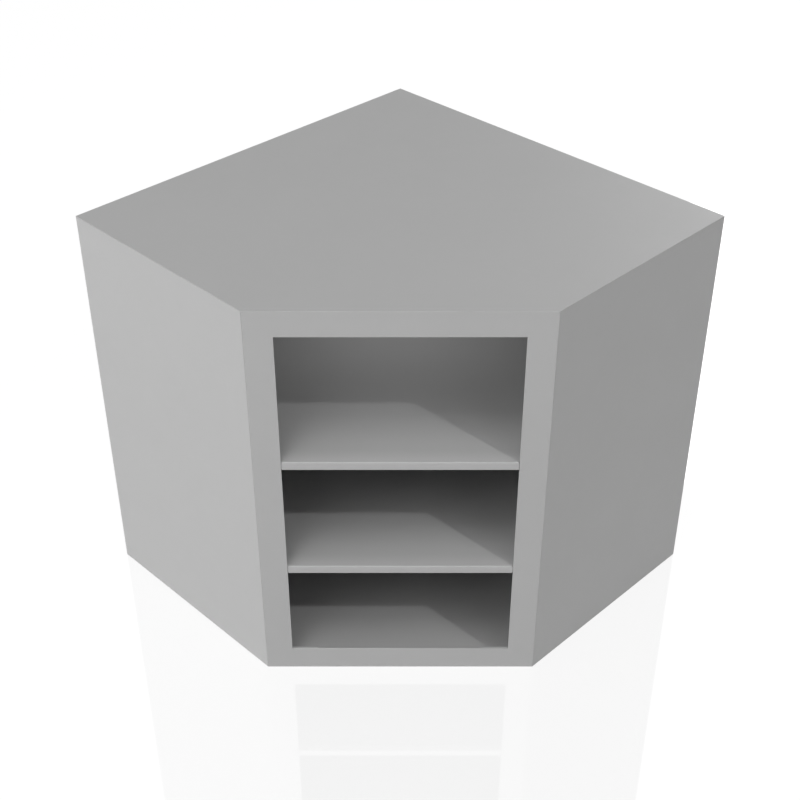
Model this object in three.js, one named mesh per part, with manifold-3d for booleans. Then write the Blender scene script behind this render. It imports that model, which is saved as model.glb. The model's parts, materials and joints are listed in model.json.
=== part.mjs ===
// Diagonal corner wall cabinet in folded sheet steel: two backs, two sides, an open framed front,
// a top, a deck, and two loose shelves on clips. Millimetres, +Z up, the open front faces -Y.
// The origin is on the floor plane, at the middle of the box round the cabinet.
import * as THREE from 'three';
import { mergeVertices } from 'three/addons/utils/BufferGeometryUtils.js';
import Module from 'manifold-3d';

const wasm = await Module();
wasm.setup();

// ---------------------------------------------------------------- driving dimensions
const wallSide = 635;            // each back panel, along the room's wall
const sideDepth = 355.6;         // each side panel, square to the room's wall
const height = 622.3;            // floor plane to the top face
const sheet = 1;                 // steel of the panels, frame and shelves
const lapGap = 0.3;              // between sheets that lap or meet at a mitre
const edgeFlange = 12.7;         // inward flanges at the top and bottom of every panel

const frameFace = 38.1;          // visible width of the stiles and rails
const hemWidth = 8;              // sheet folded flat behind the edges of the opening
const lapFlange = 15;            // stile flange that runs back inside the side panel

const deckTop = 12.7;            // top face of the deck

const postWidth = 22;            // both flanges of the angles in the square corners
const postSheet = 1.5;

const gussetLength = 70;         // along both arms of a frame gusset
const gussetWidth = 26;
const gussetSheet = 1.5;
const gussetInset = 6;           // from the outer end of the stile

const railHeight = 40;           // hanging rails
const railDepth = 10;
const railSheet = 1.5;
const railLength = 520;
const upperRailDrop = 24;        // top face of the cabinet to the top of the upper rails
const lowerRailRise = 10;        // deck to the bottom of the lower rails
const screwSpacing = 203.2;      // half the usual distance between wall studs
const screwHole = 7;             // diameter
const screwColumns = 3;

const pilasterWidth = 16;        // slotted channels
const pilasterDepth = 8;
const pilasterSheet = 1;
const pilasterBottom = 70;
const pilasterLength = 470;
const slotWidth = 8;
const slotHeight = 9;
const slotPitch = 18.54;
const slotMargin = 12.14;        // pilaster's lower end to its first slot
const slotCount = 25;
const backPilasterMargin = 110;  // pilaster's middle to the end of the back panel
const frontPilasterMargin = 90;  // pilaster's middle to the front end of the side panel

const clipWidth = 12;            // shelf clips
const clipSheet = 1.5;
const clipReach = 16;            // how far a tongue stands out under the shelf
const clipRise = 13;             // lower edge of the slot to the face that carries the shelf
const clipToothDrop = 5;
const clipStem = 3;
const clipFit = 0.3;             // round the stem in its slot, and between clip and pilaster
const clipTail = 2;              // leg below its lower stem

const shelfThickness = 12.7;     // height of the lips round each shelf
const shelfReturn = 10;          // flange under the lips
const shelfToPilaster = 3;
const shelfToFrame = 0.8;        // behind the hems of the stiles
const noseGap = 0.5;             // nose of the shelf to each stile
const noseSetback = 0.2;         // nose behind the outer face of the frame
const lowerShelfSlot = 5;        // slots that the clips hang in, counted from the lowest as 0
const upperShelfSlot = 15;

const hatFlat = 12;              // stiffeners: each flange that is welded to the sheet
const hatCrown = 20;
const hatHeight = 8;
const hatMargin = 25;            // stiffener's end to the edge of its sheet
const frontHatPlace = 200;       // from the front face
const rearHatPlace = 400;

// ---------------------------------------------------------------- plan of the cabinet
const diagonal = Math.SQRT1_2;
const halfWidth = wallSide * diagonal;
const halfFace = (wallSide - sideDepth) * diagonal;
const depth = (wallSide + sideDepth) * diagonal;
const frontY = -depth / 2;
const backY = depth / 2;

const corner = {
  frontLeft: new THREE.Vector2(-halfFace, frontY),
  frontRight: new THREE.Vector2(halfFace, frontY),
  right: new THREE.Vector2(halfWidth, backY - halfWidth),
  back: new THREE.Vector2(0, backY),
  left: new THREE.Vector2(-halfWidth, backY - halfWidth),
};

// The walls go round the plan anticlockwise. Each has its own frame: X runs along the wall from its
// first corner, Y goes into the cabinet and Z is up.
const squareMitre = 1;                       // cotangent of half of 90 degrees
const frontMitre = Math.tan(Math.PI / 8);    // cotangent of half of 135 degrees
const squareGap = lapGap / 2 / Math.sin(Math.PI / 4);
const frontGap = lapGap / 2 / Math.cos(Math.PI / 8);

const cabinet = new THREE.Group();
const wall = {
  front: makeWall(corner.frontLeft, corner.frontRight),
  rightSide: makeWall(corner.frontRight, corner.right),
  backRight: makeWall(corner.right, corner.back),
  backLeft: makeWall(corner.back, corner.left),
  leftSide: makeWall(corner.left, corner.frontLeft),
};

function makeWall(start, end) {
  const group = new THREE.Group();
  const run = end.clone().sub(start);
  group.position.set(start.x, start.y, 0);
  group.rotation.z = run.angle();
  group.userData.length = run.length();
  cabinet.add(group);
  return group;
}

// ---------------------------------------------------------------- levels and depths that fit together
const flangeTop = height - sheet;            // the top panel lies on the flanges
const flangeUnder = height - 2 * sheet;
const innerFace = sheet + lapGap;            // where a piece inside the panels starts
const openingLow = frameFace;
const openingHigh = height - frameFace;
const hemBack = 2 * sheet;
const pilasterFace = innerFace + pilasterDepth;
const shelfInset = pilasterFace + shelfToPilaster;
const shelfFrontInset = hemBack + shelfToFrame;
const firstSlot = pilasterBottom + slotMargin;

function slotLevel(index) {
  return firstSlot + index * slotPitch;
}

function shelfUnderside(slotIndex) {
  return slotLevel(slotIndex) + clipRise;
}

// ---------------------------------------------------------------- finishes
const paint = new THREE.MeshStandardMaterial({ color: 0xaeaeae, roughness: 0.45, metalness: 0.1 });
const innerPaint = new THREE.MeshStandardMaterial({ color: 0xa4a4a4, roughness: 0.55, metalness: 0.1 });
const zinc = new THREE.MeshStandardMaterial({ color: 0xc2c4c6, roughness: 0.35, metalness: 0.9 });

function addPiece(name, geometry, material, parent = cabinet) {
  const flat = geometry.index ? geometry.toNonIndexed() : geometry;
  flat.computeVertexNormals();
  const piece = new THREE.Mesh(flat, material);
  piece.name = name;
  parent.add(piece);
  return piece;
}

// ---------------------------------------------------------------- shapes
// A folded strip: a closed outline of [y, z] points carried along X. The ends may be mitred, so
// each end lies at its own x plus or minus its slope times y.
function foldedStrip(outline, startX, endX, startSlope = 0, endSlope = 0) {
  const points = outline.map(([y, z]) => new THREE.Vector2(y, z));
  if (THREE.ShapeUtils.area(points) < 0) {
    points.reverse();
  }
  const count = points.length;
  const positions = [];
  points.forEach((p) => positions.push(startX + startSlope * p.x, p.x, p.y));
  points.forEach((p) => positions.push(endX - endSlope * p.x, p.x, p.y));
  const faces = [];
  for (let i = 0; i < count; i += 1) {
    const j = (i + 1) % count;
    faces.push(i, j, count + j);
    faces.push(i, count + j, count + i);
  }
  THREE.ShapeUtils.triangulateShape(points, []).forEach(([a, b, c]) => {
    faces.push(count + a, count + b, count + c);
    faces.push(a, c, b);
  });
  const geometry = new THREE.BufferGeometry();
  geometry.setAttribute('position', new THREE.Float32BufferAttribute(positions, 3));
  geometry.setIndex(faces);
  return geometry;
}

// An upright of constant plan: a closed outline of [x, y] points between two levels.
function upright(outline, low, high) {
  const shape = new THREE.Shape(outline.map(([x, y]) => new THREE.Vector2(x, y)));
  const geometry = new THREE.ExtrudeGeometry(shape, { depth: high - low, bevelEnabled: false });
  return geometry.translate(0, 0, low);
}

function block(lowX, highX, lowY, highY, lowZ, highZ) {
  const geometry = new THREE.BoxGeometry(highX - lowX, highY - lowY, highZ - lowZ);
  return geometry.translate((lowX + highX) / 2, (lowY + highY) / 2, (lowZ + highZ) / 2);
}

// Every edge of a plan outline moved inwards by its own distance, corners where the edges then meet.
function insetOutline(points, distances) {
  const count = points.length;
  const edges = points.map((p, i) => {
    const along = points[(i + 1) % count].clone().sub(p).normalize();
    const inward = new THREE.Vector2(-along.y, along.x);
    return { along, from: p.clone().addScaledVector(inward, distances[i]) };
  });
  return edges.map((edge, i) => {
    const before = edges[(i + count - 1) % count];
    const offset = edge.from.clone().sub(before.from);
    const reach = offset.cross(edge.along) / before.along.cross(edge.along);
    return before.from.clone().addScaledVector(before.along, reach);
  });
}

// A shallow pan, open below: a flat sheet with lips turned down round its outline, and a flange
// turned in under the lips where returnWidth is more than the sheet.
function pan(outline, bottom, top, returnWidth = sheet) {
  const inset = (distance) => insetOutline(outline, outline.map(() => distance));
  const rings = [[outline, top], [outline, bottom], [inset(returnWidth), bottom]];
  if (returnWidth > sheet) {
    rings.push([inset(returnWidth), bottom + sheet]);
    rings.push([inset(sheet), bottom + sheet]);
  }
  rings.push([inset(sheet), top - sheet]);

  const count = outline.length;
  const positions = [];
  rings.forEach(([ring, level]) => ring.forEach((p) => positions.push(p.x, p.y, level)));
  const faces = [];
  for (let r = 0; r + 1 < rings.length; r += 1) {
    for (let i = 0; i < count; i += 1) {
      const j = (i + 1) % count;
      const upper = r * count;
      const lower = upper + count;
      faces.push(upper + i, lower + i, lower + j);
      faces.push(upper + i, lower + j, upper + j);
    }
  }
  const last = (rings.length - 1) * count;
  THREE.ShapeUtils.triangulateShape(outline, []).forEach(([a, b, c]) => faces.push(a, b, c));
  const underside = rings[rings.length - 1][0];
  THREE.ShapeUtils.triangulateShape(underside, []).forEach(([a, b, c]) => {
    faces.push(last + a, last + c, last + b);
  });
  const geometry = new THREE.BufferGeometry();
  geometry.setAttribute('position', new THREE.Float32BufferAttribute(positions, 3));
  geometry.setIndex(faces);
  return geometry;
}

// ---------------------------------------------------------------- joining and cutting
function solidOf(geometry) {
  const bare = geometry.clone();
  bare.deleteAttribute('normal');
  bare.deleteAttribute('uv');
  const merged = mergeVertices(bare);
  return new wasm.Manifold(new wasm.Mesh({
    numProp: 3,
    vertProperties: new Float32Array(merged.attributes.position.array),
    triVerts: new Uint32Array(merged.index.array),
  }));
}

function geometryOf(solid) {
  const mesh = solid.getMesh();
  const geometry = new THREE.BufferGeometry();
  geometry.setAttribute('position', new THREE.BufferAttribute(mesh.vertProperties, 3));
  geometry.setIndex(new THREE.BufferAttribute(mesh.triVerts, 1));
  return geometry;
}

function joined(...geometries) {
  return geometryOf(geometries.map(solidOf).reduce((whole, next) => whole.add(next)));
}

function cut(geometry, cutters) {
  const blank = solidOf(geometry);
  return geometryOf(cutters.map(solidOf).reduce((rest, cutter) => rest.subtract(cutter), blank));
}

// ---------------------------------------------------------------- top, deck and shelves
const planOutline = [corner.frontLeft, corner.frontRight, corner.right, corner.back, corner.left];

function planInset(frontInset, otherInset) {
  return insetOutline(planOutline, [frontInset, otherInset, otherInset, otherInset, otherInset]);
}

function asPairs(points) {
  return points.map((p) => [p.x, p.y]);
}

function addTopPanel() {
  addPiece('top_panel', upright(asPairs(planOutline), height - sheet, height), paint);
}

// The deck's lips stand on the bottom flanges of the panels and of the bottom rail.
function addDeck() {
  addPiece('bottom_panel', pan(planInset(hemBack + lapGap, innerFace), sheet, deckTop), paint);
}

// The middle of a shelf's front edge steps forward between the stiles, flush with the frame.
function shelfOutline() {
  const [frontLeft, frontRight, right, back, left] = planInset(shelfFrontInset, shelfInset);
  const noseHalf = halfFace - frameFace - noseGap;
  const noseY = frontY + noseSetback;
  return [
    frontLeft,
    new THREE.Vector2(-noseHalf, frontLeft.y),
    new THREE.Vector2(-noseHalf, noseY),
    new THREE.Vector2(noseHalf, noseY),
    new THREE.Vector2(noseHalf, frontRight.y),
    frontRight,
    right,
    back,
    left,
  ];
}

function addShelf(name, slotIndex) {
  const bottom = shelfUnderside(slotIndex);
  const top = bottom + shelfThickness;
  addPiece(name, pan(shelfOutline(), bottom, top, shelfReturn), paint);
  addStiffeners(name, top - sheet, shelfInset + shelfReturn);
}

// Half of the plan's width at a distance behind the front face, inside an inset from the panels.
function halfSpan(behindFront, inset) {
  const growing = halfFace + behindFront;
  const shrinking = depth - behindFront;
  return Math.min(growing, shrinking) - inset / diagonal;
}

// A hat section with its crown down, welded by its two flats to the sheet above it.
function hatOutline(middleY, top) {
  const crown = hatCrown / 2;
  const edge = crown + hatFlat;
  const inner = crown - sheet;
  return [
    [-edge, top], [-edge, top - sheet], [-crown, top - sheet], [-crown, top - hatHeight],
    [crown, top - hatHeight], [crown, top - sheet], [edge, top - sheet], [edge, top],
    [inner, top], [inner, top - hatHeight + sheet], [-inner, top - hatHeight + sheet], [-inner, top],
  ].map(([y, z]) => [middleY + y, z]);
}

function addStiffeners(owner, sheetUnderside, edgeInset) {
  [['front', frontHatPlace], ['rear', rearHatPlace]].forEach(([place, behindFront]) => {
    const widest = hatCrown / 2 + hatFlat;
    const near = halfSpan(behindFront - widest, edgeInset);
    const far = halfSpan(behindFront + widest, edgeInset);
    const half = Math.min(near, far) - hatMargin;
    const outline = hatOutline(frontY + behindFront, sheetUnderside);
    addPiece(`${owner}_stiffener_${place}`, foldedStrip(outline, -half, half), innerPaint);
  });
}

// ---------------------------------------------------------------- panels round the plan
function panelOutline() {
  return [
    [0, 0], [edgeFlange, 0], [edgeFlange, sheet], [sheet, sheet],
    [sheet, flangeUnder], [edgeFlange, flangeUnder], [edgeFlange, flangeTop], [0, flangeTop],
  ];
}

function addSidePanels() {
  const length = wall.leftSide.userData.length;
  const left = foldedStrip(panelOutline(), squareGap, length - frontGap, squareMitre, frontMitre);
  const right = foldedStrip(panelOutline(), frontGap, length - squareGap, frontMitre, squareMitre);
  addPiece('left_side_panel', left, paint, wall.leftSide);
  addPiece('right_side_panel', right, paint, wall.rightSide);
}

const upperRailLow = height - upperRailDrop - railHeight;
const lowerRailLow = deckTop + lowerRailRise;

// Cylinders through the wall at the screw places of both hanging rails.
function screwCutters(railLows, nearY, farY) {
  const middle = wallSide / 2;
  const cutters = [];
  railLows.forEach((low) => {
    for (let i = 0; i < screwColumns; i += 1) {
      const x = middle + (i - (screwColumns - 1) / 2) * screwSpacing;
      const drill = new THREE.CylinderGeometry(screwHole / 2, screwHole / 2, farY - nearY, 16);
      cutters.push(drill.translate(x, (nearY + farY) / 2, low + railHeight / 2));
    }
  });
  return cutters;
}

function addBackPanels() {
  const blank = foldedStrip(panelOutline(), squareGap, wallSide - squareGap, squareMitre, squareMitre);
  const drilled = cut(blank, screwCutters([upperRailLow, lowerRailLow], -sheet, 2 * sheet));
  addPiece('back_right_panel', drilled, paint, wall.backRight);
  addPiece('back_left_panel', drilled.clone(), paint, wall.backLeft);
}

function addHangingRails() {
  const levels = [['upper', upperRailLow], ['lower', lowerRailLow]];
  const sides = [['left', wall.backLeft], ['right', wall.backRight]];
  levels.forEach(([level, low]) => {
    const web = innerFace + railSheet;
    const lip = innerFace + railDepth;
    const high = low + railHeight;
    const outline = [
      [innerFace, low], [lip, low], [lip, low + railSheet], [web, low + railSheet],
      [web, high - railSheet], [lip, high - railSheet], [lip, high], [innerFace, high],
    ];
    const start = (wallSide - railLength) / 2;
    const blank = foldedStrip(outline, start, start + railLength);
    const drilled = cut(blank, screwCutters([low], 0, lip));
    sides.forEach(([side, group]) => {
      addPiece(`hanging_rail_${level}_${side}`, drilled.clone(), innerPaint, group);
    });
  });
}

// Angles in the three square corners stand on the deck and reach the top flanges.
function addCornerPosts() {
  const near = innerFace;
  const thick = innerFace + postSheet;
  const far = innerFace + postWidth;
  const outline = [[near, near], [far, near], [far, thick], [thick, thick], [thick, far], [near, far]];
  addPiece('left_corner_post', upright(outline, deckTop, flangeUnder), innerPaint, wall.leftSide);
  addPiece('right_corner_post', upright(outline, deckTop, flangeUnder), innerPaint, wall.backRight);
  addPiece('back_corner_post', upright(outline, deckTop, flangeUnder), innerPaint, wall.backLeft);
}

// ---------------------------------------------------------------- frame round the opening
// A place near the front left corner, given along the side panel and inwards from it.
function besideSide(alongSide, inset) {
  return [(inset - alongSide) * diagonal, (inset + alongSide) * diagonal];
}

// The same inset from the side panel, at a depth behind the front face.
function behindFace(inset, fromFace) {
  return [inset / diagonal - fromFace, fromFace];
}

function stileGeometry(placeX) {
  const turn = ([x, y]) => [placeX(x), y];
  const face = [
    [frontGap, 0], [frameFace, 0], [frameFace, hemBack], [frameFace - hemWidth, hemBack],
    [frameFace - hemWidth, sheet], [frontGap + frontMitre * sheet, sheet],
  ];
  const inner = innerFace + sheet;
  const root = sheet / 2;
  const lap = [
    behindFace(innerFace, root), behindFace(inner, root),
    besideSide(lapFlange, inner), besideSide(lapFlange, innerFace),
  ];
  return joined(
    upright(face.map(turn), 0, flangeTop),
    upright(lap.map(turn), deckTop, flangeUnder),
  );
}

function addStiles() {
  const length = wall.front.userData.length;
  addPiece('left_stile', stileGeometry((x) => x), paint, wall.front);
  addPiece('right_stile', stileGeometry((x) => length - x), paint, wall.front);
}

function addRails() {
  const start = frameFace;
  const end = wall.front.userData.length - frameFace;
  const top = [
    [0, openingHigh], [hemBack, openingHigh], [hemBack, openingHigh + hemWidth],
    [sheet, openingHigh + hemWidth], [sheet, flangeUnder], [edgeFlange, flangeUnder],
    [edgeFlange, flangeTop], [0, flangeTop],
  ];
  const bottom = [
    [0, 0], [edgeFlange, 0], [edgeFlange, sheet], [sheet, sheet],
    [sheet, openingLow - hemWidth], [hemBack, openingLow - hemWidth],
    [hemBack, openingLow], [0, openingLow],
  ];
  addPiece('top_rail', foldedStrip(top, start, end), paint, wall.front);
  addPiece('bottom_rail', foldedStrip(bottom, start, end), paint, wall.front);
}

// L plates behind the frame, on the hems. Their outline is drawn in X and Z and stands upright.
function addGussets() {
  const length = wall.front.userData.length;
  const levels = [['upper', flangeUnder, -1], ['lower', deckTop, 1]];
  const sides = [['left', (x) => x], ['right', (x) => length - x]];
  levels.forEach(([level, base, up]) => {
    sides.forEach(([side, placeX]) => {
      const outline = [
        [0, 0], [gussetLength, 0], [gussetLength, gussetWidth],
        [gussetWidth, gussetWidth], [gussetWidth, gussetLength], [0, gussetLength],
      ].map(([x, z]) => [placeX(gussetInset + x), -(base + up * z)]);
      const plate = upright(outline, hemBack, hemBack + gussetSheet);
      plate.rotateX(-Math.PI / 2);
      addPiece(`frame_gusset_${level}_${side}`, plate, innerPaint, wall.front);
    });
  });
}

// ---------------------------------------------------------------- pilasters and clips
function pilasterGeometry() {
  const half = pilasterWidth / 2;
  const inner = half - pilasterSheet;
  const web = pilasterFace - pilasterSheet;
  const outline = [
    [-half, innerFace], [-inner, innerFace], [-inner, web], [inner, web],
    [inner, innerFace], [half, innerFace], [half, pilasterFace], [-half, pilasterFace],
  ];
  const slots = [];
  for (let i = 0; i < slotCount; i += 1) {
    const low = slotLevel(i);
    const halfSlot = slotWidth / 2;
    slots.push(block(-halfSlot, halfSlot, web - sheet, pilasterFace + sheet, low, low + slotHeight));
  }
  return cut(upright(outline, pilasterBottom, pilasterBottom + pilasterLength), slots);
}

// A clip: a tongue under the shelf, a leg down the pilaster, a stem with a tooth that hooks behind
// the web, and a plain stem in the slot below. Its z is measured from the lower edge of its slot.
function clipGeometry() {
  const half = clipWidth / 2;
  const face = pilasterFace + clipFit;
  const back = pilasterFace - pilasterSheet - clipFit;
  const stemHalf = slotWidth / 2 - clipFit;
  const stemHigh = clipFit + clipStem;
  const stemLow = clipFit - slotPitch;
  const inside = face + clipSheet / 2;
  const tip = back - clipSheet;
  return joined(
    block(-half, half, face, pilasterFace + clipReach, clipRise - clipSheet, clipRise),
    block(-half, half, face, face + clipSheet, stemLow - clipTail, clipRise - clipSheet / 2),
    block(-stemHalf, stemHalf, tip, inside, clipFit, stemHigh),
    block(-stemHalf, stemHalf, tip, back, clipFit - clipToothDrop, stemHigh),
    block(-stemHalf, stemHalf, back, inside, stemLow, stemLow + clipStem),
  );
}

function addShelfSupports() {
  const sideLength = wall.leftSide.userData.length;
  const places = [
    ['back_left_inner', wall.backLeft, backPilasterMargin],
    ['back_left_outer', wall.backLeft, wallSide - backPilasterMargin],
    ['back_right_inner', wall.backRight, wallSide - backPilasterMargin],
    ['back_right_outer', wall.backRight, backPilasterMargin],
    ['side_left', wall.leftSide, sideLength - frontPilasterMargin],
    ['side_right', wall.rightSide, frontPilasterMargin],
  ];
  const pilaster = pilasterGeometry();
  const clip = clipGeometry();
  places.forEach(([place, group, alongWall]) => {
    addPiece(`pilaster_${place}`, pilaster.clone(), zinc, group).position.x = alongWall;
    [['upper', upperShelfSlot], ['lower', lowerShelfSlot]].forEach(([level, slotIndex]) => {
      const piece = addPiece(`${level}_clip_${place}`, clip.clone(), zinc, group);
      piece.position.set(alongWall, 0, slotLevel(slotIndex));
    });
  });
}

// ---------------------------------------------------------------- assembly
addTopPanel();
addStiffeners('top', height - sheet, edgeFlange);
addDeck();
addStiffeners('deck', deckTop - sheet, innerFace);
addSidePanels();
addBackPanels();
addCornerPosts();
addStiles();
addRails();
addGussets();
addHangingRails();
addShelfSupports();
addShelf('upper_shelf', upperShelfSlot);
addShelf('lower_shelf', lowerShelfSlot);

export default cabinet;
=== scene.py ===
# %% [markdown]
# # Corner wall cabinet in folded sheet steel
#
# The cabinet stands across a room corner: five sides in plan, an open frame across the front, and
# two loose shelves on clips. The frame loaded here holds every solid at its real place and size.
# Each wide sheet gets a finer surface with its bend radii, the small hardware keeps its solid, and
# everything gets its finish.

import json
import math

import bpy
import numpy as np
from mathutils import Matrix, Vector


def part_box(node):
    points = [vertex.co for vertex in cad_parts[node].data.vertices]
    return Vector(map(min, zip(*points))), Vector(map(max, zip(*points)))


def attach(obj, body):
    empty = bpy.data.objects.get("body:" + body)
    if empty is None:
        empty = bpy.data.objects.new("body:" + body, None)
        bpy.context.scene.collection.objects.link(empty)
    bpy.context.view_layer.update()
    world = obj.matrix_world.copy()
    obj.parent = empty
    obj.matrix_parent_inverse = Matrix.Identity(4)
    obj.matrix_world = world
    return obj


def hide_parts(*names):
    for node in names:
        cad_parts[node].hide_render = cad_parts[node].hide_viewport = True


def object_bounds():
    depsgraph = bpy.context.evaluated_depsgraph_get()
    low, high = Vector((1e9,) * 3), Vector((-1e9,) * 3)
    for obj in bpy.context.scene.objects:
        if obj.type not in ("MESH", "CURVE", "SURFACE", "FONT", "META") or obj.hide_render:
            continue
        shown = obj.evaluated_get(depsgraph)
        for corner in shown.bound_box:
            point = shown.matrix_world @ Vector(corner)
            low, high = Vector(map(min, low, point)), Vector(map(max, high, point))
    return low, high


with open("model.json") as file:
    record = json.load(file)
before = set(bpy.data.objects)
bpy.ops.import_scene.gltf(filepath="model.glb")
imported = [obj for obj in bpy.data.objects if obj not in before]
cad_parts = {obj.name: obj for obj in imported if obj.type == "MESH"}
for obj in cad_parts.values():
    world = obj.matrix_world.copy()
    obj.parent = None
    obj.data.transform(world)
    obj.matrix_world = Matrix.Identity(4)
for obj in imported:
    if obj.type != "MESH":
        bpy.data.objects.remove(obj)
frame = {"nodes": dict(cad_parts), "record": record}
cad_low, cad_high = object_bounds()

# %% [markdown]
# ## Measures
#
# A fitter would take the cabinet's sizes off the real thing, and here they come off the frame. The
# plan is fixed by the overall box, the frame's own width and the sheet, because its rear corners
# are square. Everything after this cell is in metres.

# %% Sizes taken from the frame
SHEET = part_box("top_panel")[1].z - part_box("top_panel")[0].z
HEIGHT = cad_high.z
FRONT_Y = cad_low.y
BACK_Y = cad_high.y
HALF_WIDTH = cad_high.x
FRAME_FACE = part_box("bottom_rail")[1].z
OPEN_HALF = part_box("top_rail")[1].x
HALF_FACE = OPEN_HALF + FRAME_FACE
SIDE_Y = BACK_Y - HALF_WIDTH
DIAGONAL = math.sqrt(0.5)
OPEN_LOW = FRAME_FACE
OPEN_HIGH = HEIGHT - FRAME_FACE
print(f"plan {2 * HALF_WIDTH:.4f} by {BACK_Y - FRONT_Y:.4f} m, height {HEIGHT:.4f} m")

# %% Sizes of the folds
LAP_GAP = 0.0003         # between neighbouring sheets
EDGE_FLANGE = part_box("bottom_rail")[1].y - FRONT_Y
HEM_WIDTH = 0.008
HEM_BACK = 2 * SHEET
FLANGE_TOP = HEIGHT - SHEET
FLANGE_UNDER = HEIGHT - 2 * SHEET
INNER_FACE = SHEET + LAP_GAP
DECK_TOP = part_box("bottom_panel")[1].z
SHELF_RETURN = 0.010
CRISP = 0.00012          # radius of a sheared edge
OUTER_BEND = 0.0005      # outside of a tight bend that has to meet its neighbour flush
INNER_BEND = 0.0004
LIP_BEND = 0.0020        # outside of an open bend, such as a shelf's front lip
BEND_STEPS = 5
print(f"sheet {SHEET:.4f} m, edge flanges {EDGE_FLANGE:.4f} m wide, deck at {DECK_TOP:.4f} m")

# %% [markdown]
# ## Outlines with bends
#
# Folded sheet has no sharp corners: a press brake leaves an arc at each bend. One function turns a
# plain outline into one with arcs, for all corners at once, and it serves both the cross-section
# of a panel and the plan of a shelf.


# %% Round the corners of an outline
def unit(vectors):
    """Each row of an array divided by its own length."""
    return vectors / np.linalg.norm(vectors, axis=1, keepdims=True)


def rounded(outline, radii, steps=BEND_STEPS):
    """A closed outline with an arc at each corner.

    The arc's centre lies on the corner's bisector at radius / sin(half the corner's angle), and its
    ends lie on the two edges at radius / tan(half the angle) from the corner."""
    corners = np.asarray(outline, float)
    radius = np.broadcast_to(radii, len(corners))
    back = unit(np.roll(corners, 1, 0) - corners)
    ahead = unit(np.roll(corners, -1, 0) - corners)
    half = 0.5 * np.arccos(np.clip((back * ahead).sum(1), -1, 1))
    centre = corners + unit(back + ahead) * (radius / np.sin(half))[:, None]
    reach = (radius / np.tan(half))[:, None]
    first = corners + back * reach - centre
    last = corners + ahead * reach - centre
    turn = np.sign(first[:, 0] * last[:, 1] - first[:, 1] * last[:, 0]) * (math.pi - 2 * half)
    angle = np.arctan2(first[:, 1], first[:, 0])[:, None] + turn[:, None] * np.linspace(0, 1, steps + 1)
    arc = np.stack([np.cos(angle), np.sin(angle)], 2) * radius[:, None, None]
    return (centre[:, None] + arc).reshape(-1, 2)


print("a rounded unit square has", len(rounded([[0, 0], [1, 0], [1, 1], [0, 1]], 0.1)), "points")

# %% [markdown]
# ## The five walls
#
# Each wall of the plan has a frame of its own: along the wall, into the cabinet, and up. A panel is
# drawn once in such a frame and the wall carries it to its place, which is how the mirror halves
# and the slanted walls stay true to each other.


# %% Frames that run round the plan
class Wall:
    """A wall from one plan corner to the next, anticlockwise, so that its left is the inside."""

    def __init__(self, start, end):
        self.start = np.asarray(start, float)
        run = np.asarray(end, float) - self.start
        self.length = float(np.linalg.norm(run))
        self.along = run / self.length
        self.inward = np.array([-self.along[1], self.along[0]])

    def place(self, points):
        """start + x * along + y * inward in plan, with z as it is."""
        plan = self.start + points[..., :1] * self.along + points[..., 1:2] * self.inward
        return np.concatenate([plan, points[..., 2:]], axis=-1)


FRONT_LEFT = (-HALF_FACE, FRONT_Y)
FRONT_RIGHT = (HALF_FACE, FRONT_Y)
RIGHT = (HALF_WIDTH, SIDE_Y)
BACK = (0.0, BACK_Y)
LEFT = (-HALF_WIDTH, SIDE_Y)
PLAN = np.array([FRONT_LEFT, FRONT_RIGHT, RIGHT, BACK, LEFT])
FRONT_WALL = Wall(FRONT_LEFT, FRONT_RIGHT)
RIGHT_SIDE = Wall(FRONT_RIGHT, RIGHT)
BACK_RIGHT = Wall(RIGHT, BACK)
BACK_LEFT = Wall(BACK, LEFT)
LEFT_SIDE = Wall(LEFT, FRONT_LEFT)
STRAIGHT = Wall((0.0, 0.0), (1.0, 0.0))       # the frame's own axes
PLAN_WALLS = (FRONT_WALL, RIGHT_SIDE, BACK_RIGHT, BACK_LEFT, LEFT_SIDE)
print("walls:", [round(wall.length, 4) for wall in PLAN_WALLS])

# %% Mitres at the plan's corners
# A mitre is how far an end steps back for each metre of depth: the square corners halve to 45
# degrees, and the 135 degree corners beside the front to 67.5.
SQUARE_MITRE = 1.0
FRONT_MITRE = math.tan(math.pi / 8)
SQUARE_GAP = LAP_GAP / 2 / math.sin(math.pi / 4)
FRONT_GAP = LAP_GAP / 2 / math.cos(math.pi / 8)
print(f"mitre beside the front: {FRONT_MITRE:.4f} m for each metre of depth")

# %% [markdown]
# ## From surface to mesh
#
# Every piece is a grid of rings. The rings are joined by quads, and the first and last ring are
# closed by one face each. Two ways to lay the rings are enough here: an outline carried straight
# along a wall, and a cross-section carried round a plan.


# %% Rings to a closed mesh
def ring_faces(ring_count, ring_size):
    """Quads between each ring and the next: (r, i), (r, i+1), (r+1, i+1), (r+1, i)."""
    ring, i = np.meshgrid(np.arange(ring_count - 1), np.arange(ring_size), indexing="ij")
    j = (i + 1) % ring_size
    quads = np.stack([ring * ring_size + i, ring * ring_size + j,
                      (ring + 1) * ring_size + j, (ring + 1) * ring_size + i], axis=-1)
    return quads.reshape(-1, 4)


def closed_mesh(name, rings):
    """A mesh from rings of shape (count, size, 3), capped at both ends, with its faces outwards.

    Rings of shape (solids, count, size, 3) give as many closed solids in one mesh."""
    count, size = rings.shape[-3:-1]
    points = rings.reshape(-1, 3)
    first = np.arange(0, len(points), count * size)[:, None]
    walls = (first[..., None] + ring_faces(count, size)).reshape(-1, 4)
    low_caps = first + np.arange(size)[::-1]
    high_caps = first + np.arange((count - 1) * size, count * size)
    mesh = bpy.data.meshes.new(name)
    mesh.from_pydata(points, [], walls.tolist() + low_caps.tolist() + high_caps.tolist())
    if mesh_volume(mesh) < 0:
        mesh.flip_normals()
    mesh.shade_smooth()
    mesh.update()
    return mesh


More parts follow.
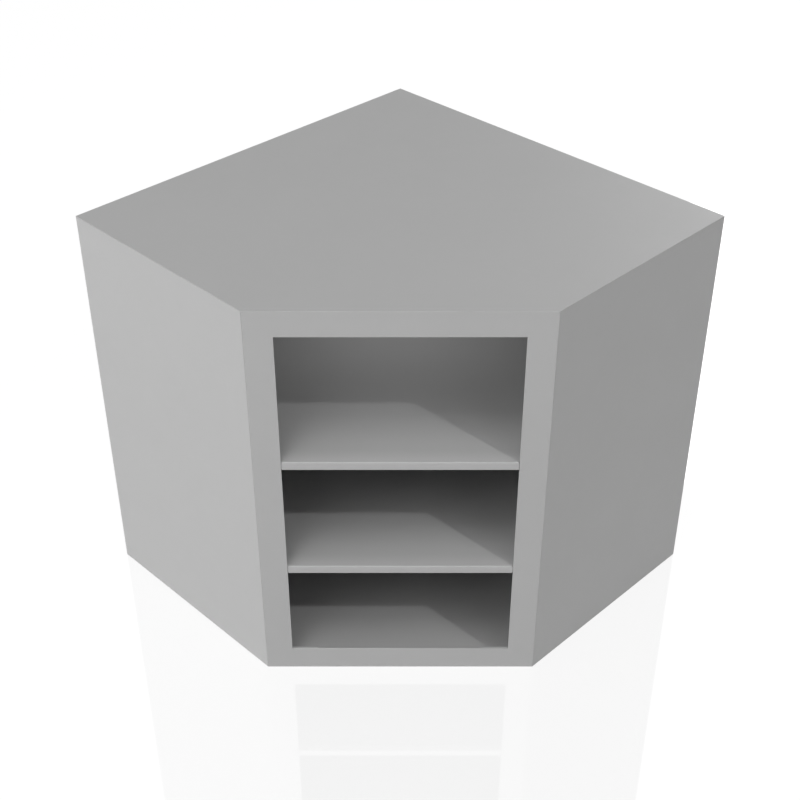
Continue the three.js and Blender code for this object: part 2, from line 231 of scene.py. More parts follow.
def mesh_volume(mesh):
    """Sum over the mesh's triangles of a . (b x c) / 6, positive when the faces point out."""
    mesh.calc_loop_triangles()
    corners = np.empty(len(mesh.loop_triangles) * 3, np.int32)
    mesh.loop_triangles.foreach_get("vertices", corners)
    points = np.empty(len(mesh.vertices) * 3)
    mesh.vertices.foreach_get("co", points)
    a, b, c = points.reshape(-1, 3)[corners].reshape(-1, 3, 3).transpose(1, 0, 2)
    return float((a * np.cross(b, c)).sum() / 6)


PAINT_BY_SLOT = {"body_paint": [], "inner_paint": [], "zinc_plate": []}
BIG_FACES_LEAD = 100     # the modifier's largest weight: a corner shades like its biggest face


def add_piece(name, mesh, body, slot, *nodes):
    """The mesh as a piece that rides on a body and stands for CAD nodes, with flats kept flat."""
    piece = bpy.data.objects.new(name, mesh)
    bpy.context.scene.collection.objects.link(piece)
    flats = piece.modifiers.new("flat sheets, round bends", "WEIGHTED_NORMAL")
    flats.mode = "FACE_AREA"
    flats.weight = BIG_FACES_LEAD
    flats.keep_sharp = True
    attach(piece, body)
    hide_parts(*nodes)
    PAINT_BY_SLOT[slot].append(piece)
    print(f"{name}: {len(mesh.polygons)} faces, {mesh_volume(mesh) * 1e6:.1f} cm3")


# %% An outline carried along a wall
def strip(name, wall, outline, start, end, start_mitre=0.0, end_mitre=0.0):
    """x = (1 - u) (start + start_mitre y) + u (end - end_mitre y) for every outline point (y, z)."""
    y, z = outline.T
    first = np.stack([start + start_mitre * y, y, z], axis=-1)
    last = np.stack([end - end_mitre * y, y, z], axis=-1)
    return closed_mesh(name, wall.place(np.stack([first, last])))


def upright(name, wall, outline, low, high):
    """The plan outline (x, y) at the levels low and high."""
    first = np.column_stack([outline, np.full(len(outline), low)])
    last = np.column_stack([outline, np.full(len(outline), high)])
    return closed_mesh(name, wall.place(np.stack([first, last])))


# %% A cross-section carried round a plan
def inset(plan, distances):
    """Each edge of a plan moved inwards by its distance; neighbouring edges meet at new corners."""
    along = unit(np.roll(plan, -1, 0) - plan)
    inward = np.column_stack([-along[:, 1], along[:, 0]])
    origin = plan + inward * np.broadcast_to(distances, len(plan))[:, None]
    before = np.roll(along, 1, 0)
    offset = origin - np.roll(origin, 1, 0)
    cross = before[:, 0] * along[:, 1] - before[:, 1] * along[:, 0]
    reach = (offset[:, 0] * along[:, 1] - offset[:, 1] * along[:, 0]) / cross
    return np.roll(origin, 1, 0) + before * reach[:, None]


def around(name, plan, section, corner=CRISP, steps=1):
    """Ring k lies at level z[k] and is the plan inset by d[k], for a cross-section of (d, z).

    The plan's corners are rounded after the inset, so that deep rings don't fold over themselves."""
    rings = []
    for depth, level in section:
        ring = rounded(inset(plan, depth), corner, steps)
        rings.append(np.column_stack([ring, np.full(len(ring), level)]))
    return closed_mesh(name, np.stack(rings))


CAP_INSET = 0.06         # a place on the flat middle of a sheet, well inside its edges
END_POINTS = BEND_STEPS + 1


def open_section(corners, radii):
    """A rounded cross-section without its first and last corner, where the flat middle closes it."""
    return rounded(corners, radii)[END_POINTS:-END_POINTS]


def pan_section(bottom, top, return_width, bend):
    """Top face, lip, return flange, and back to the underside, with every bend rounded."""
    corners = [
        (CAP_INSET, top), (0, top), (0, bottom), (return_width, bottom), (return_width, bottom + SHEET),
        (SHEET, bottom + SHEET), (SHEET, top - SHEET), (CAP_INSET, top - SHEET),
    ]
    radii = [CRISP, bend, OUTER_BEND, CRISP, CRISP, INNER_BEND, max(bend - SHEET, INNER_BEND), CRISP]
    return open_section(corners, radii)


# %% [markdown]
# ## Top and deck
#
# The top is one flat sheet that lies flush on the flanges of the walls. The deck is a shallow pan
# whose lips stand on the bottom flanges. A flat plate could be an extruded shape, but carrying a
# small rounded section round the plan gives its sheared edge the tiny radius that catches light.


# %% The top sheet
PLATE_EDGE = 2 * CRISP


def plate_section(bottom, top):
    """Out over the top face's edge and back under, the sheared edge rounded."""
    return open_section([(CAP_INSET, top), (0, top), (0, bottom), (CAP_INSET, bottom)], PLATE_EDGE)


add_piece("top_sheet", around("top_sheet", PLAN, plate_section(FLANGE_TOP, HEIGHT)),
          "cabinet", "body_paint", "top_panel")


# %% The deck
def deck_section():
    """A pan without a return flange: the lip's lower edge is sheared."""
    corners = [(CAP_INSET, DECK_TOP), (0, DECK_TOP), (0, SHEET), (SHEET, SHEET),
               (SHEET, DECK_TOP - SHEET), (CAP_INSET, DECK_TOP - SHEET)]
    return open_section(corners, [CRISP, LIP_BEND, CRISP, CRISP, INNER_BEND, CRISP])


DECK_PLAN = inset(PLAN, [HEM_BACK + LAP_GAP] + [INNER_FACE] * 4)
add_piece("deck_pan", around("deck_pan", DECK_PLAN, deck_section()),
          "cabinet", "body_paint", "bottom_panel")

# %% [markdown]
# ## Shelves
#
# Each shelf is a pan with lips turned down and a flange turned in under them. The middle of its
# front edge, the nose, steps forward between the stiles until it is flush with the frame. The
# nose's lip is what the photograph shows as a bright band, so its bend is rounded in the surface.

# %% The two shelves
SHELF_TO_FRAME = 0.0008
NOSE_SIDE = 0.0005       # clear space between the nose and each stile
PLAN_RADIUS = 0.0006
PLAN_STEPS = 3


def shelf_plan(node):
    """Five corners from the node's box and the walls' angles, plus four for the nose."""
    low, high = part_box(node)
    side_inset = (HALF_WIDTH - high.x) * DIAGONAL
    frame_inset = HEM_BACK + SHELF_TO_FRAME
    front_left, front_right, right, back, left = inset(PLAN, [frame_inset] + [side_inset] * 4)
    nose = OPEN_HALF - NOSE_SIDE
    front = front_left[1]
    return np.array([front_left, (-nose, front), (-nose, low.y), (nose, low.y), (nose, front),
                     front_right, right, back, left])


for shelf in ("upper_shelf", "lower_shelf"):
    low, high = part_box(shelf)
    section = pan_section(low.z, high.z, SHELF_RETURN, LIP_BEND)
    print(shelf, "has a section of", len(section), "points")
    mesh = around(f"{shelf}_pan", shelf_plan(shelf), section, PLAN_RADIUS, PLAN_STEPS)
    add_piece(f"{shelf}_pan", mesh, shelf, "body_paint", shelf)

# %% [markdown]
# ## Side panels
#
# A side panel is a skin with a flange turned in at the top and bottom, mitred at both ends so that
# the outside corners stay crisp. The outer bends are tight because the top sheet has to lie flush.


# %% The two side panels
def panel_outline():
    """Skin and two flanges, in depth behind the outer face and level."""
    corners = [
        (0, 0), (EDGE_FLANGE, 0), (EDGE_FLANGE, SHEET), (SHEET, SHEET),
        (SHEET, FLANGE_UNDER), (EDGE_FLANGE, FLANGE_UNDER), (EDGE_FLANGE, FLANGE_TOP), (0, FLANGE_TOP),
    ]
    radii = [OUTER_BEND, CRISP, CRISP, INNER_BEND, INNER_BEND, CRISP, CRISP, CRISP]
    return rounded(corners, radii)


side_outline = panel_outline()
add_piece("left_side_skin",
          strip("left_side_skin", LEFT_SIDE, side_outline, SQUARE_GAP, LEFT_SIDE.length - FRONT_GAP,
                SQUARE_MITRE, FRONT_MITRE), "cabinet", "body_paint", "left_side_panel")
add_piece("right_side_skin",
          strip("right_side_skin", RIGHT_SIDE, side_outline, FRONT_GAP, RIGHT_SIDE.length - SQUARE_GAP,
                FRONT_MITRE, SQUARE_MITRE), "cabinet", "body_paint", "right_side_panel")

# %% [markdown]
# ## Rails of the frame
#
# The rails above and below the opening end in a hem, where the sheet is folded flat on itself. Its
# edge is two sheets thick and rounded front and rear, so that it is safe to the hand.


# %% Top and bottom rail
def rail_corners(hem_edge, hem_end, far, flange_inner, flange_outer):
    """The hem at the opening, the face, and the flange at the far end; levels as given."""
    return [
        (0, hem_edge), (HEM_BACK, hem_edge), (HEM_BACK, hem_end), (SHEET, hem_end),
        (SHEET, flange_inner), (EDGE_FLANGE, flange_inner), (EDGE_FLANGE, flange_outer), (0, far),
    ]


HEM_RADIUS = 0.45 * SHEET
RAIL_RADII = [HEM_RADIUS, HEM_RADIUS, CRISP, CRISP, INNER_BEND, CRISP, CRISP, CRISP]
rails = {
    "top_rail": rail_corners(OPEN_HIGH, OPEN_HIGH + HEM_WIDTH, FLANGE_TOP, FLANGE_UNDER, FLANGE_TOP),
    "bottom_rail": rail_corners(OPEN_LOW, OPEN_LOW - HEM_WIDTH, 0, SHEET, 0),
}
for node, corners in rails.items():
    outline = rounded(corners, RAIL_RADII) + (FRONT_Y, 0)
    mesh = strip(f"{node}_fold", STRAIGHT, outline, -OPEN_HALF, OPEN_HALF)
    add_piece(f"{node}_fold", mesh, "cabinet", "body_paint", node)

# %% [markdown]
# ## Stiffeners and corner posts
#
# Under each wide sheet lie two hat sections, and in each square corner stands an angle. Both are
# one outline of constant section, taken here from the box of the node that each stands for.


# %% Hat sections
HAT_FLAT = 0.012
HAT_BEND = 0.0012
OWNER_BODY = {"top": "cabinet", "deck": "cabinet",
              "upper_shelf": "upper_shelf", "lower_shelf": "lower_shelf"}


def hat_outline(low, high):
    """Flats at the top of the box, legs down to the crown, one sheet thick throughout."""
    middle = (low.y + high.y) / 2
    crown = (high.y - low.y) / 2 - HAT_FLAT
    edge, inner, under = crown + HAT_FLAT, crown - SHEET, high.z - SHEET
    corners = [
        (-edge, high.z), (-edge, under), (-crown, under), (-crown, low.z), (crown, low.z), (crown, under),
        (edge, under), (edge, high.z), (inner, high.z), (inner, low.z + SHEET),
        (-inner, low.z + SHEET), (-inner, high.z),
    ]
    radii = [CRISP, CRISP, INNER_BEND, HAT_BEND, HAT_BEND, INNER_BEND,
             CRISP, CRISP, CRISP, INNER_BEND, INNER_BEND, CRISP]
    return rounded([(middle + y, z) for y, z in corners], radii)


for owner, body in OWNER_BODY.items():
    for end in ("front", "rear"):
        node = f"{owner}_stiffener_{end}"
        low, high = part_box(node)
        add_piece(f"{node}_hat", strip(f"{node}_hat", STRAIGHT, hat_outline(low, high), low.x, high.x),
                  body, "inner_paint", node)

# %% Angles in the square corners
BRACKET_SHEET = 0.0015
POST_LEG = 0.022
near, thick, far = INNER_FACE, INNER_FACE + BRACKET_SHEET, INNER_FACE + POST_LEG
ANGLE = rounded([(near, near), (far, near), (far, thick), (thick, thick), (thick, far), (near, far)],
                [LIP_BEND, CRISP, CRISP, INNER_BEND, CRISP, CRISP])
for node, wall in (("left_corner_post", LEFT_SIDE), ("right_corner_post", BACK_RIGHT),
                   ("back_corner_post", BACK_LEFT)):
    add_piece(f"{node}_angle", upright(f"{node}_angle", wall, ANGLE, DECK_TOP, FLANGE_UNDER),
              "cabinet", "inner_paint", node)

# %% [markdown]
# ## Weld marks
#
# Nothing here is screwed together: a welding gun pinches two sheets between copper tips and leaves a
# round mark with a dished middle and a low rim. The show side lies on a copper bar and stays clean,
# so only the pieces inside carry marks. One mark is a profile turned round its axis, and all the
# marks of a body are one array.


# %% Rows of weld marks
MM = 0.001
MARK_PROFILE = MM * np.array([[3.0, -0.1], [2.9, 0.05], [2.5, 0.14], [2.0, 0.05], [1.2, 0.02]])
MARK_SIDES = 16
MARK_PITCH = 0.05
MARK_MARGIN = 0.015
FEWEST_MARKS = 2
ASKEW = (0.1, 0.2, 0.3)  # keeps the cross product below from being zero


def weld_marks(centres, normals):
    """centre + r (cos a u + sin a v) + h n for each ring (r, h) of the profile, u and v square to n."""
    axis = np.broadcast_to(unit(np.atleast_2d(normals)), centres.shape)
    across = unit(np.cross(axis, axis[:, [1, 2, 0]] + ASKEW))
    other = np.cross(axis, across)
    angle = np.linspace(0, 2 * math.pi, MARK_SIDES, endpoint=False)
    radius, rise = MARK_PROFILE.T
    turn = np.cos(angle)[:, None] * across[:, None, None] + np.sin(angle)[:, None] * other[:, None, None]
    return centres[:, None, None] + radius[:, None, None] * turn + rise[:, None, None] * axis[:, None, None]


def mark_row(start, end, normal):
    """Marks from start to end, a margin in from both and about one pitch apart."""
    start, end = np.array(start, float), np.array(end, float)
    length = np.linalg.norm(end - start)
    count = max(FEWEST_MARKS, round((length - 2 * MARK_MARGIN) / MARK_PITCH) + 1)
    share = np.linspace(MARK_MARGIN, length - MARK_MARGIN, count)[:, None] / length
    return weld_marks(start + (end - start) * share, normal)


def hat_marks(node):
    """A row under each of a stiffener's two flats."""
    low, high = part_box(node)
    level, half_flat = high.z - SHEET, HAT_FLAT / 2
    return [mark_row((low.x, y, level), (high.x, y, level), (0, 0, -1))
            for y in (low.y + half_flat, high.y - half_flat)]


marks = {"cabinet": [], "upper_shelf": [], "lower_shelf": []}
for owner, body in OWNER_BODY.items():
    for end in ("front", "rear"):
        marks[body] += hat_marks(f"{owner}_stiffener_{end}")

# %% [markdown]
# The corner posts have a row on each flange, and the hanging rails one that keeps clear of their
# screw holes. The plates behind the frame have a few round their corner.

# %% Marks on the corner posts
post_middle = (thick + far) / 2
for wall in (LEFT_SIDE, BACK_RIGHT, BACK_LEFT):
    inward, along = [np.append(v, 0) for v in (wall.inward, wall.along)]
    for x, y, normal in ((post_middle, thick, inward), (thick, post_middle, along)):
        ends = wall.place(np.array([[x, y, DECK_TOP], [x, y, FLANGE_UNDER]]))
        marks["cabinet"].append(mark_row(*ends, normal))

# %% Marks on the hanging rails
SCREW_SPACING = 0.2032
# Counted in screw spacings from the rail's middle: the screws are at -1, 0 and 1.
RAIL_SPOTS = SCREW_SPACING * np.array([-1.2, -0.75, -0.5, -0.25, 0.25, 0.5, 0.75, 1.2])
for side, wall in (("left", BACK_LEFT), ("right", BACK_RIGHT)):
    for level in ("upper", "lower"):
        low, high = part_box(f"hanging_rail_{level}_{side}")
        middle = (low.z + high.z) / 2
        spots = [[wall.length / 2 + x, INNER_FACE + BRACKET_SHEET, middle] for x in RAIL_SPOTS]
        marks["cabinet"].append(weld_marks(wall.place(np.array(spots)), np.append(wall.inward, 0)))

# %% Marks on the gussets
GUSSET_SPOTS = MM * np.array([[13, 13], [38, 13], [60, 13], [13, 38], [13, 60]])
for side, outwards in (("left", -1), ("right", 1)):
    for level, upwards in (("upper", 1), ("lower", -1)):
        low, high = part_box(f"frame_gusset_{level}_{side}")
        corner_x = high.x if outwards > 0 else low.x
        corner_z = high.z if upwards > 0 else low.z
        spots = np.column_stack([corner_x - outwards * GUSSET_SPOTS[:, 0],
                                 np.full(len(GUSSET_SPOTS), high.y),
                                 corner_z - upwards * GUSSET_SPOTS[:, 1]])
        marks["cabinet"].append(weld_marks(spots, (0, 1, 0)))

# %% One piece of marks for each body
for body, rows in marks.items():
    every = np.concatenate(rows)
    add_piece(f"{body}_weld_marks", closed_mesh(f"{body}_weld_marks", every), body, "inner_paint")
    print(body, "has", len(every), "weld marks")

# %% [markdown]
# ## Pieces that keep their solid
#
# The stiles, backs, hanging rails, gussets, slotted channels and clips are cut with holes or joined
# from two folds, and their solids are already right. Modifiers weld their loose triangles, merge
# what is flat, and take the sharpness off each edge, as shearing and painting do.

# %% Soften the edges of the remaining nodes
EDGE_WIDTH = {"body_paint": 0.00015, "inner_paint": 0.0002, "zinc_plate": 0.0002}
EDGE_STEPS = 2
SAME_POINT = 0.00001
FLAT_ANGLE = math.radians(1)
EDGE_ANGLE = math.radians(40)
SLOT_OF_NODE = {row["node"]: row["material_slot"] for row in frame["record"]["subparts"]}
kept_nodes = [name for name, node in frame["nodes"].items() if not node.hide_render]
for name in sorted(kept_nodes):
    node = frame["nodes"][name]
    slot = SLOT_OF_NODE[name]
    weld = node.modifiers.new("weld the triangles", "WELD")
    weld.merge_threshold = SAME_POINT
    flatten = node.modifiers.new("merge what is flat", "DECIMATE")
    flatten.decimate_type = "DISSOLVE"
    flatten.angle_limit = FLAT_ANGLE
    soften = node.modifiers.new("soften the edges", "BEVEL")
    soften.width = EDGE_WIDTH[slot]
    soften.segments = EDGE_STEPS
    soften.limit_method = "ANGLE"
    soften.angle_limit = EDGE_ANGLE
    PAINT_BY_SLOT[slot].append(node)
print("nodes kept:", len(kept_nodes))

# %% [markdown]
# ## Shader maths
#
# Finishes are written as expressions. The class below wraps one socket, so that a mask can be
# multiplied or subtracted like a number while it adds its Math node.


# %% A socket that reads like a number
class Signal:
    """One output socket of a node tree, with arithmetic."""

    def __init__(self, tree, socket=None):
        self.tree = tree
        self.socket = socket

    def node(self, kind, inputs=None, out=0, **settings):
        """Adds a node: settings first, then values or links on its sockets; gives one output."""
        made = self.tree.nodes.new(kind)
        for name, value in settings.items():
            setattr(made, name, value)
        for key, value in (inputs or {}).items():
            if isinstance(value, Signal):
                self.tree.links.new(value.socket, made.inputs[key])
            else:
                made.inputs[key].default_value = value
        return Signal(self.tree, made.outputs[out])

    def math(self, operation, first, second=0.0):
        """A Math node's result."""
        return self.node("ShaderNodeMath", {0: first, 1: second}, operation=operation)

    def __add__(self, other):
        return self.math("ADD", self, other)

    def __radd__(self, other):
        return self.math("ADD", other, self)

    def __sub__(self, other):
        return self.math("SUBTRACT", self, other)

    def __rsub__(self, other):
        return self.math("SUBTRACT", other, self)

    def __mul__(self, other):
        return self.math("MULTIPLY", self, other)

    def size(self):
        """The value without its sign."""
        return self.math("ABSOLUTE", self)

    def least(self, other):
        """The smaller of the two."""
        return self.math("MINIMUM", self, other)

    def most(self, other):
        """The larger of the two."""
        return self.math("MAXIMUM", self, other)

    def fade(self, start, end):
        """1 up to start, falling smoothly to 0 at end."""
        return self.node("ShaderNodeMapRange", {0: self, 1: start, 2: end, 3: 1.0, 4: 0.0},
                         interpolation_type="SMOOTHSTEP")

    def tint(self, low, high):
        """A colour between two, by this value."""
        return self.node("ShaderNodeMix", {0: self, 6: low, 7: high}, out=2, data_type="RGBA")

    def split(self):
        """The x, y and z of a place, each a signal of its own."""
        axes = self.node("ShaderNodeSeparateXYZ", {0: self})
        return [Signal(self.tree, output) for output in axes.socket.node.outputs]


def noise(place, scale, detail=2.0, roughness=0.5):
    """Noise around 0.5 in object space; scale is in waves per metre."""
    return place.node("ShaderNodeTexNoise", {"Vector": place, "Scale": scale, "Detail": detail,
                                             "Roughness": roughness})


# %% [markdown]
# ## Powder coat
#
# Powder coat is a satin plastic skin baked on steel. It has a fine orange peel, a slow change of
# tone where the powder lies thicker, and a paler line where an edge has been rubbed. Behind each
# shelf's front bend the colour is painted paler too: painted light, a band that looks lit. The
# sheet below it is never quite flat, so a slow bump bends its reflections a little.


# %% Where the edges are
def edge_distance(place):
    """Distance in metres to the nearest outer edge or edge of the opening.

    Every edge is where two planes meet, so its distance is the larger of the distances to both."""
    across, y, z = place.split()
    x = across.size()
    front = y - FRONT_Y
    side = (front + HALF_FACE - x) * DIAGONAL
    rear = (BACK_Y - y - x) * DIAGONAL
    skin = front.least(side).least(rear).size()
    cap = z.least(HEIGHT - z).size()
    corners = front.size().most(side.size()).least(side.size().most(rear.size()))
    opening = (x - OPEN_HALF).most((z - (OPEN_LOW + OPEN_HIGH) / 2).size() - (OPEN_HIGH - OPEN_LOW) / 2)
    return corners.least(skin.most(cap)).least(opening.size().most(front.size()))


# %% Painted light behind the shelves' front bend
PAINTED_LIGHT_DEPTH = 0.030
BEHIND_BEND = 0.003


# Painted light: the mask of a pale band painted behind each shelf's front bend, where it looks lit.
def painted_front_light_share(place):
    """1 just behind the bend of a shelf's front lip, falling to 0 at PAINTED_LIGHT_DEPTH.

    Only the space inside the opening counts: less than its half width and below its upper edge."""
    across, y, z = place.split()
    x = across.size()
    depth = y - FRONT_Y
    inside = x.fade(OPEN_HALF, OPEN_HALF + BEHIND_BEND) * z.fade(OPEN_HIGH, OPEN_HIGH + BEHIND_BEND)
    behind = 1 - depth.fade(0.0, BEHIND_BEND)
    return inside * behind * depth.fade(BEHIND_BEND, PAINTED_LIGHT_DEPTH)


# %% A material with a varying colour, roughness and height
def grey(level):
    """The same level in all three channels, opaque."""
    return (level, level, level, 1.0)


def blank_finish(name):
    """A new material: its shader, and the place in object space that its patterns read."""
    material = bpy.data.materials.new(name)
    material.use_nodes = True
    place = Signal(material.node_tree).node("ShaderNodeTexCoord", out="Object")
    return material, material.node_tree.nodes["Principled BSDF"], place


def connect(shader, colour, gloss, height):
    """Links the three signals; height is in metres and goes through a Bump node."""
    bump = height.node("ShaderNodeBump", {"Strength": 1.0, "Distance": 1.0, "Height": height})
    for signal, name in ((colour, "Base Color"), (gloss, "Roughness"), (bump, "Normal")):
        signal.tree.links.new(signal.socket, shader.inputs[name])


# %% Powder coat
CLOUD_WAVES = 5.0        # this and the next four are in waves per metre
MOTTLE_WAVES = 60.0
GRAIN_WAVES = 600.0
SHEEN_WAVES = 14.0
BUCKLE_WAVES = 3.2
BUCKLE_HEIGHT = 0.0005
NOISE_MIDDLE = 0.5       # so noise plus this is around 1
CLOUD_SHARE = 0.55
MOTTLE_SHARE = 0.25
GRAIN_SHARE = 0.2
TONE_SWING = 0.035       # each way, as a share of the tone
SHEEN_SWING = 0.06       # each way, in roughness
EDGE_WORN = 0.0003       # wholly rubbed up to here from an edge
EDGE_WHOLE = 0.0013      # and not at all from here on
EDGE_RAGGED = 0.0009
# paler for rubbed edges, and for the painted light behind the shelves' front bend
WEAR_AND_LIGHT_PALER = 1.3
WORN_SMOOTHER = 0.08


def coat(name, tone, roughness, peel, wear_and_light_share):
    """A powder coat: tone, sheen, orange peel height, and how much edge wear and painted light show."""
    material, shader, place = blank_finish(name)
    cloud = noise(place, CLOUD_WAVES, detail=3.0)
    mottle = noise(place, MOTTLE_WAVES)
    grain = noise(place, GRAIN_WAVES, roughness=0.6)
    sheen = noise(place, SHEEN_WAVES, detail=4.0, roughness=0.65)
    shade = cloud * CLOUD_SHARE + mottle * MOTTLE_SHARE + grain * GRAIN_SHARE
    body = shade.tint(grey(tone * (1 - TONE_SWING)), grey(tone * (1 + TONE_SWING)))
    edges = (edge_distance(place) + mottle * EDGE_RAGGED).fade(EDGE_WORN, EDGE_WHOLE)
    # painted light: a paler band behind each shelf's front bend
    painted_front_light = painted_front_light_share(place) * (NOISE_MIDDLE + cloud)
    # the rubbed edges are real wear; the band behind the front bend is painted light
    wear_and_painted_light = edges.most(painted_front_light) * wear_and_light_share
    colour = wear_and_painted_light.tint(body, grey(tone * WEAR_AND_LIGHT_PALER))
    gloss = roughness - SHEEN_SWING + sheen * (2 * SHEEN_SWING) - wear_and_painted_light * WORN_SMOOTHER
    height = grain * peel + noise(place, BUCKLE_WAVES, detail=1.0) * BUCKLE_HEIGHT
    connect(shader, colour, gloss, height)
    return material


# %% [markdown]
# ## Zinc plate
#
# The clips and slotted channels are plated before they are fitted, so they keep the metal's own
# cool colour. Zinc has a fine spangle and dulls in whitish patches where hands and damp reach it.

# %% Zinc plate
SPANGLE_WAVES = 260.0
BLOOM_WAVES = 35.0
PITTING_WAVES = 700.0
PITTING_HEIGHT = 0.00002
SPANGLE_SHARE = 0.35
DULL_ZINC = np.array([0.86, 0.88, 0.90])      # shares of the tone in red, green and blue
BRIGHT_ZINC = np.array([1.10, 1.11, 1.12])
ZINC_METALLIC = 0.9
ZINC_SMOOTHER = 0.08                          # where the pattern is 0
ZINC_ROUGHER = 0.2                            # added where the pattern is 1


def plated(name, tone, roughness):
    """Bright zinc: a cool metal with a faint spangle and dull, whitish patches."""
    material, shader, place = blank_finish(name)
    spangle = place.node("ShaderNodeTexVoronoi", {"Vector": place, "Scale": SPANGLE_WAVES})
    bloom = noise(place, BLOOM_WAVES, detail=4.0, roughness=0.6)
    mix = spangle * SPANGLE_SHARE + bloom * (1 - SPANGLE_SHARE)
    colour = mix.tint((*(tone * DULL_ZINC), 1.0), (*(tone * BRIGHT_ZINC), 1.0))
    gloss = roughness - ZINC_SMOOTHER + mix * ZINC_ROUGHER
    shader.inputs["Metallic"].default_value = ZINC_METALLIC
    height = noise(place, PITTING_WAVES) * PITTING_HEIGHT
    connect(shader, colour, gloss, height)
    return material


# %% Finishes on their pieces
finishes = {
    "body_paint": coat("satin_grey_powder_coat", tone=0.40, roughness=0.45, peel=0.00003, wear_and_light_share=0.5),
    "inner_paint": coat("thin_grey_powder_coat", tone=0.37, roughness=0.5, peel=0.00004, wear_and_light_share=0.0),
    "zinc_plate": plated("bright_zinc", tone=0.6, roughness=0.34),
}
for slot, pieces in PAINT_BY_SLOT.items():
    for piece in pieces:
        piece.data.materials.clear()
        piece.data.materials.append(finishes[slot])
    print(slot, "on", len(pieces), "pieces")

# %% [markdown]
# ## Floor
#
# The photograph's floor is white, with a faint mirror image of the cabinet. The camera sees a mix
# of plain white, a weak mirror and a little real shadow, while the light that reaches the cabinet
# comes from an ordinary pale floor.

# %% The floor
FLOOR_HALF = 14.0
FLOOR_DROP = 0.0002      # keeps the floor clear of the cabinet's base

floor_mesh = bpy.data.meshes.new("floor")
floor_mesh.from_pydata([(-FLOOR_HALF, -FLOOR_HALF, 0), (FLOOR_HALF, -FLOOR_HALF, 0),
                        (FLOOR_HALF, FLOOR_HALF, 0), (-FLOOR_HALF, FLOOR_HALF, 0)], [], [(0, 1, 2, 3)])
floor = bpy.data.objects.new("floor", floor_mesh)
floor.location.z = -FLOOR_DROP
bpy.context.scene.collection.objects.link(floor)
print("floor:", 2 * FLOOR_HALF, "m each way")

# %% The floor's finish
MIRROR_SHARE = 0.13
MIRROR_BLUR = 0.03
SHADOW_SHARE = 0.06
SHADED_TONE = 0.95
WHITE_LEVEL = 1.04       # makes up for the shadow share where nothing shades the floor
FLOOR_TONE = 0.77


def seen_directly(root):
    """1 for rays from the camera, a mirror or glass, and 0 for light that falls on things."""
    path = root.node("ShaderNodeLightPath")
    outputs = path.socket.node.outputs
    camera = Signal(root.tree, outputs["Is Camera Ray"])
    gloss = Signal(root.tree, outputs["Is Glossy Ray"])
    through = Signal(root.tree, outputs["Is Transmission Ray"])
    return camera.most(gloss).most(through)


floor_paint = bpy.data.materials.new("pale_floor")
floor_paint.use_nodes = True
floor_tree = floor_paint.node_tree
floor_tree.nodes.clear()
root = Signal(floor_tree)
white = root.node("ShaderNodeEmission", {"Color": grey(1.0), "Strength": WHITE_LEVEL})
mirror = root.node("ShaderNodeBsdfGlossy", {"Color": grey(1.0), "Roughness": MIRROR_BLUR})
shaded = root.node("ShaderNodeBsdfDiffuse", {"Color": grey(SHADED_TONE)})
ordinary = root.node("ShaderNodeBsdfDiffuse", {"Color": grey(FLOOR_TONE)})
polished = root.node("ShaderNodeMixShader", {0: MIRROR_SHARE, 1: white, 2: mirror})
shadowed = root.node("ShaderNodeMixShader", {0: SHADOW_SHARE, 1: polished, 2: shaded})
surface = root.node("ShaderNodeMixShader", {0: seen_directly(root), 1: ordinary, 2: shadowed})
output = floor_tree.nodes.new("ShaderNodeOutputMaterial")
floor_tree.links.new(surface.socket, output.inputs["Surface"])
floor_mesh.materials.append(floor_paint)

# %% [markdown]
# ## Light
#
# Each face of the cabinet has a tone of its own in the photograph, and the shelves carry a soft
# shadow of the frame. So several soft lamps share the work in a dim, even room. Those at the left
# make the left side the palest face, the narrow one at the right draws the shadow's slanted edge, a
# high one reaches the front of the shelves, and one behind lifts the top towards its right edge. The
# narrow lamp stands far off: the photograph's shadow edges fit rays that are nearly parallel.

# %% The room
ROOM_LEVEL = 0.1
BACKDROP_LEVEL = 1.0
scene = bpy.context.scene
world = bpy.data.worlds.new("studio")
scene.world = world
world.use_nodes = True
world.node_tree.nodes.clear()
sky = Signal(world.node_tree)
room = sky.node("ShaderNodeBackground", {"Color": grey(1.0), "Strength": ROOM_LEVEL})
backdrop = sky.node("ShaderNodeBackground", {"Color": grey(1.0), "Strength": BACKDROP_LEVEL})
seen = sky.node("ShaderNodeMixShader", {0: seen_directly(sky), 1: room, 2: backdrop})
world_output = world.node_tree.nodes.new("ShaderNodeOutputWorld")
world.node_tree.links.new(seen.socket, world_output.inputs["Surface"])


# %% The lamps
def lamp(name, azimuth, elevation, distance, size, level):
    """A square lamp aimed at the cabinet's middle. Azimuth is in degrees from the front, to the right.

    level is how bright it makes a white card that faces it: power = level pi^2 distance^2."""
    turn, tilt = math.radians(azimuth), math.radians(elevation)
    light = bpy.data.lights.new(name, "AREA")
    light.size = size
    light.energy = level * math.pi**2 * distance**2
    holder = bpy.data.objects.new(name, light)
    away = np.array([math.sin(turn) * math.cos(tilt), -math.cos(turn) * math.cos(tilt), math.sin(tilt)])
    holder.location = away * distance + (0, 0, HEIGHT / 2)
    holder.rotation_euler = (math.pi / 2 - tilt, 0, turn)
    scene.collection.objects.link(holder)
    print(f"{name}: {light.energy:.0f} W")


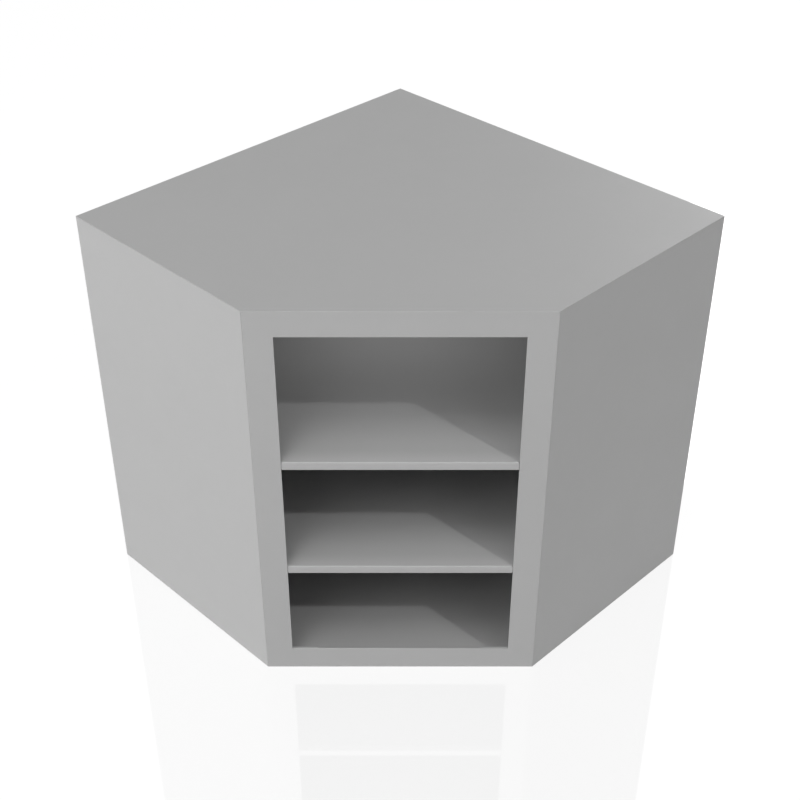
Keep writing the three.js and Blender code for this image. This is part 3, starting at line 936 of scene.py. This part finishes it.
lamp("wide_left", -75, 10, 12.0, 7.0, 0.45)
lamp("low_left", -50, 5, 5.0, 2.0, 0.23)
lamp("soft_left", -27, 45, 4.0, 1.8, 0.17)
lamp("high_front", -12, 65, 4.0, 1.2, 0.205)
lamp("soft_right", 35, 40, 4.0, 2.2, 0.135)
lamp("narrow_right", 44.6, 45.0, 12.0, 0.36, 0.175)
lamp("rear_right", 150, 22, 4.0, 1.5, 0.165)

# %% [markdown]
# The upper compartment is far brighter in the photograph than the two below it. A weak strip under
# the top, as kitchen cabinets often have, does that, and it doesn't show itself.

# %% The strip under the top
STRIP_WIDTH = 0.30
STRIP_DEPTH = 0.08
STRIP_Y = -0.03
STRIP_DROP = 0.012
STRIP_POWER = 0.232      # watts
strip_light = bpy.data.lights.new("under_top", "AREA")
strip_light.shape = "RECTANGLE"
strip_light.size = STRIP_WIDTH
strip_light.size_y = STRIP_DEPTH
strip_light.energy = STRIP_POWER
strip_holder = bpy.data.objects.new("under_top", strip_light)
strip_holder.location = (0, STRIP_Y, FLANGE_UNDER - STRIP_DROP)
strip_holder.visible_camera = False
strip_holder.visible_glossy = False
scene.collection.objects.link(strip_holder)
print(f"under_top: {STRIP_POWER} W")

# %% [markdown]
# ## Camera
#
# The photograph looks down on the cabinet from straight ahead. Its lens, tilt and place were worked
# out from the corners of the top, base and opening, all on one plan.

# %% The photograph's camera
FRAME_PIXELS = 800
FOCAL_PIXELS = 1375.79
CENTRE_PIXEL = 400.233
TILT_DOWN = math.radians(35.294)
CAMERA_PLACE = (0.0, -1.7992, 1.5140)
SENSOR_MM = 36.0

camera_data = bpy.data.cameras.new("camera")
camera_data.sensor_width = SENSOR_MM
camera_data.lens = FOCAL_PIXELS / FRAME_PIXELS * SENSOR_MM
camera_data.shift_x = (FRAME_PIXELS / 2 - CENTRE_PIXEL) / FRAME_PIXELS
camera = bpy.data.objects.new("camera", camera_data)
camera.location = CAMERA_PLACE
camera.rotation_euler = (math.pi / 2 - TILT_DOWN, 0, 0)
scene.collection.objects.link(camera)
scene.camera = camera
scene.view_settings.view_transform = "Standard"
print(f"lens {camera_data.lens:.2f} mm")
